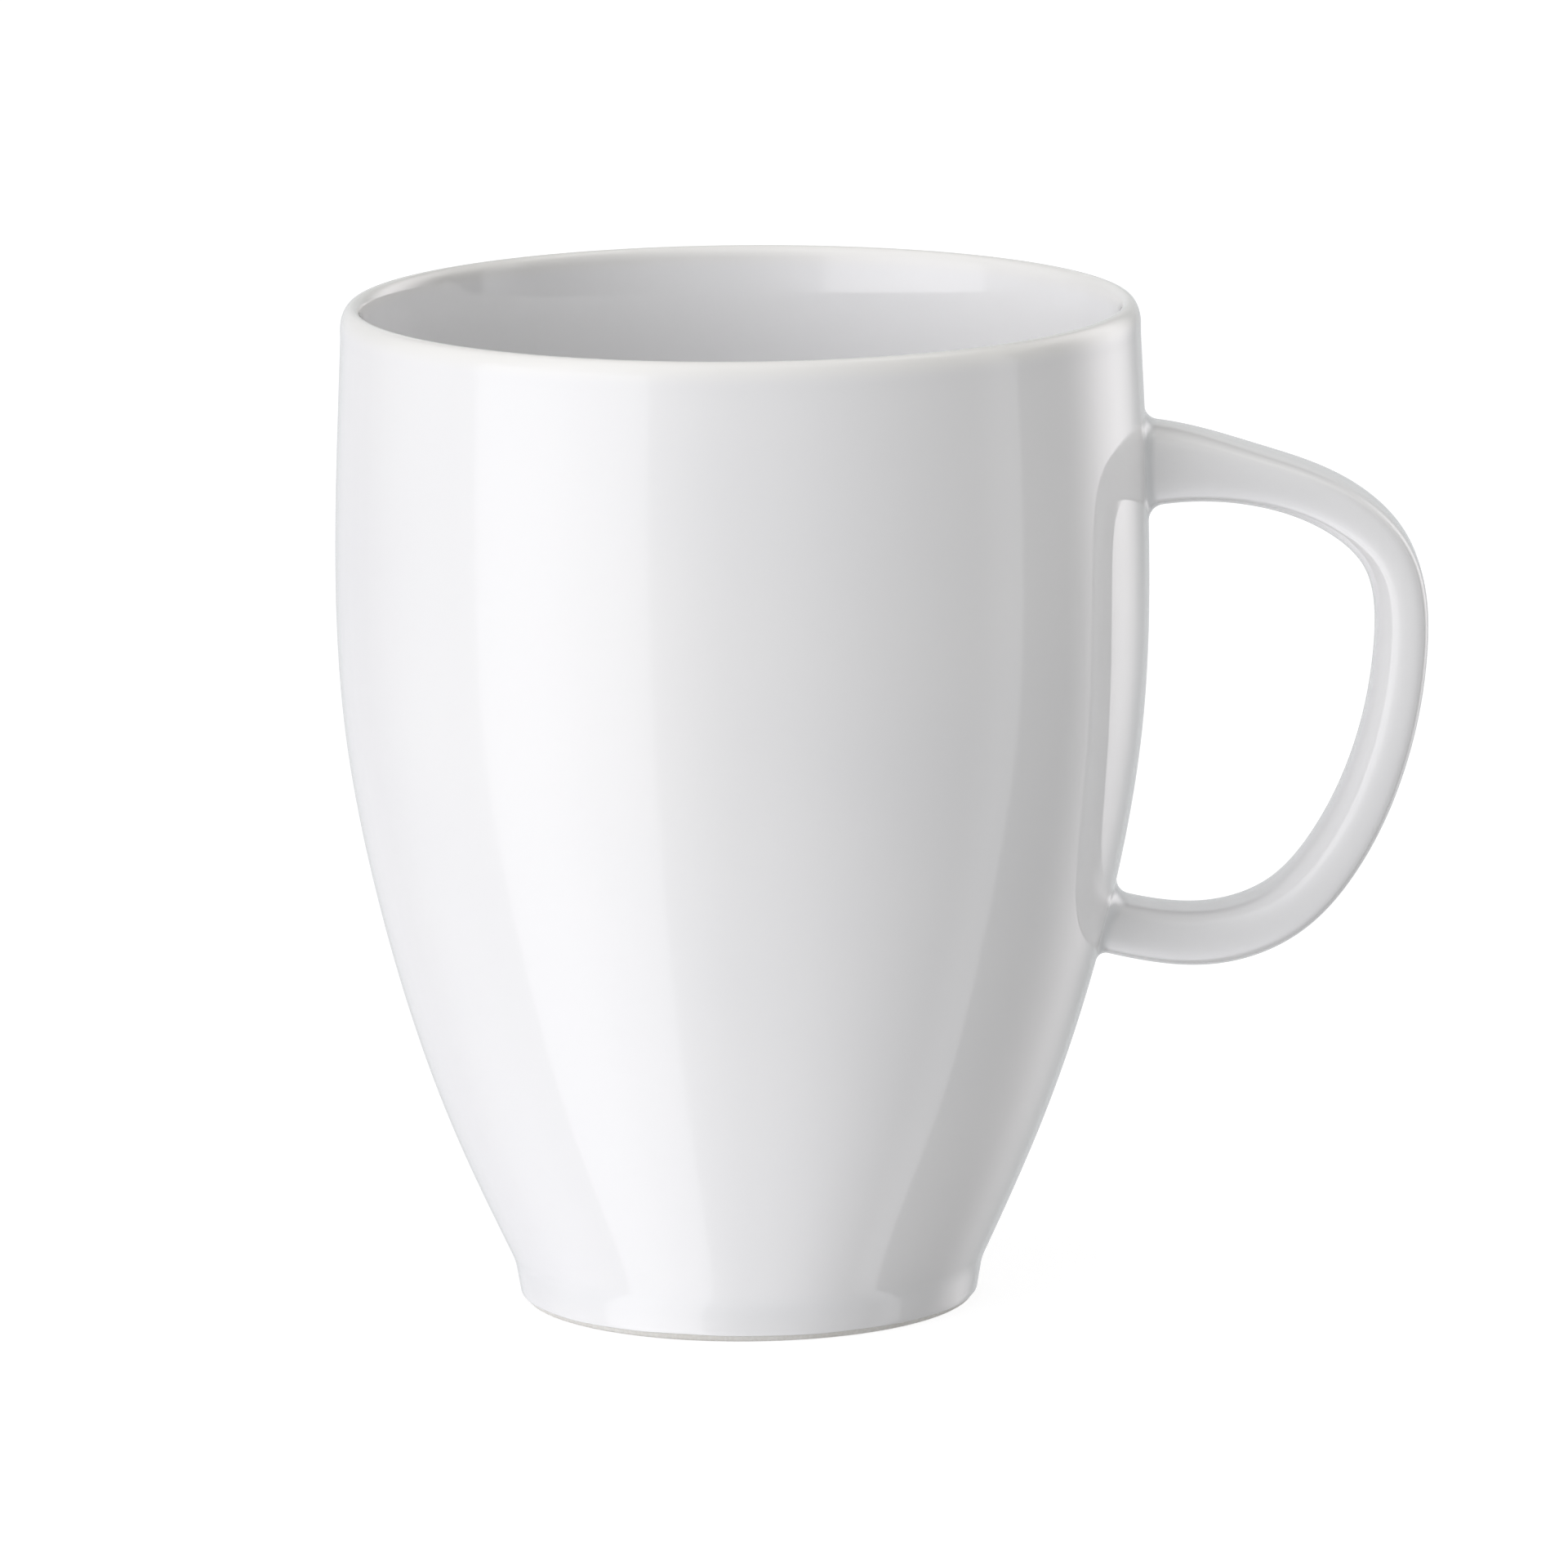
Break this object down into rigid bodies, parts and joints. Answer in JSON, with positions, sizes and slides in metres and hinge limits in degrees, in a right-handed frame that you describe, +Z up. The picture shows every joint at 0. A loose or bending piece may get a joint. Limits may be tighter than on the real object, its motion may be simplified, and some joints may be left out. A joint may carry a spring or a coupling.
{
  "type": "mug",
  "caption": "Round-bodied glazed porcelain mug on a foot ring, with a slim strap handle, for hot drinks.",
  "frame": {"origin": "centre of the foot ring, on the plane it stands on", "axes": "+Z up along the axis of the round body; +X from that axis towards the handle; +Y by the right-hand rule"},
  "size_m": [0.1127, 0.084, 0.1044],
  "materials": {
    "porcelain_biscuit": "matte, fine-grained, bare",
    "fired_slip": "matte",
    "white_glaze": "glossy"
  },
  "bodies": {
    "root": {"porcelain_body": "porcelain_biscuit", "porcelain_handle": "porcelain_biscuit", "upper_slip_joint": "fired_slip", "lower_slip_joint": "fired_slip", "outer_glaze": "white_glaze", "liner_glaze": "white_glaze", "underside_glaze": "white_glaze"}
  },
  "joints": []
}
